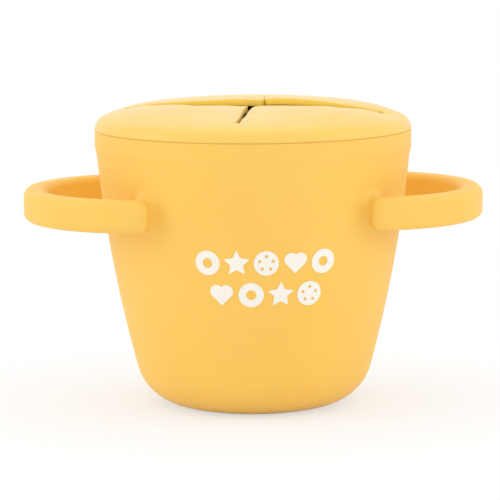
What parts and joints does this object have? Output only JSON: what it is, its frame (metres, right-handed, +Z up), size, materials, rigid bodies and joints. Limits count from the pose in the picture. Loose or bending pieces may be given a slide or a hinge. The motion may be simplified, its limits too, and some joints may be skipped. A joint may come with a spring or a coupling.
{
  "type": "toddler snack cup",
  "caption": "Soft silicone snack cup with two side loops and a domed push-in lid cut crosswise into four springy flaps.",
  "frame": {"origin": "centre of the base, on the surface that the cup stands on", "axes": "+Z up; X runs through the two side loops; the printed front faces -Y"},
  "size_m": [0.1292, 0.089, 0.0863],
  "materials": {
    "silicone_body": "matte",
    "silicone_lid": "matte",
    "white_ink": "satin"
  },
  "bodies": {
    "cup": {"cup": "silicone_body", "handle_left": "silicone_body", "handle_right": "silicone_body", "front_print": "white_ink"},
    "lid": {"lid_cap": "silicone_lid"},
    "flap_back_right": {"flap_back_right": "silicone_lid"},
    "flap_back_left": {"flap_back_left": "silicone_lid"},
    "flap_front_left": {"flap_front_left": "silicone_lid"},
    "flap_front_right": {"flap_front_right": "silicone_lid"}
  },
  "joints": [
    {"name": "lid_lift", "type": "slide", "parent": "cup", "child": "lid", "axis": [0, 0, 1], "range_m": [0, 0.025]},
    {"name": "flap_back_right_bend", "type": "hinge", "parent": "lid", "child": "flap_back_right", "pos_m": [0.01988, 0.01424, 0.0837], "axis": [-0.5821, 0.8131, 0], "range_deg": [-60, 35], "stiffness_Nm_per_rad": 0.02},
    {"name": "flap_back_left_bend", "type": "hinge", "parent": "lid", "child": "flap_back_left", "pos_m": [-0.01424, 0.01988, 0.0837], "axis": [-0.8131, -0.5821, 0], "range_deg": [-58.5, 36.5], "stiffness_Nm_per_rad": 0.02},
    {"name": "flap_front_left_bend", "type": "hinge", "parent": "lid", "child": "flap_front_left", "pos_m": [-0.01988, -0.01424, 0.0837], "axis": [0.5821, -0.8131, 0], "range_deg": [-54, 41], "stiffness_Nm_per_rad": 0.02},
    {"name": "flap_front_right_bend", "type": "hinge", "parent": "lid", "child": "flap_front_right", "pos_m": [0.01424, -0.01988, 0.0837], "axis": [0.8131, 0.5821, 0], "range_deg": [-55, 40], "stiffness_Nm_per_rad": 0.02}
  ]
}
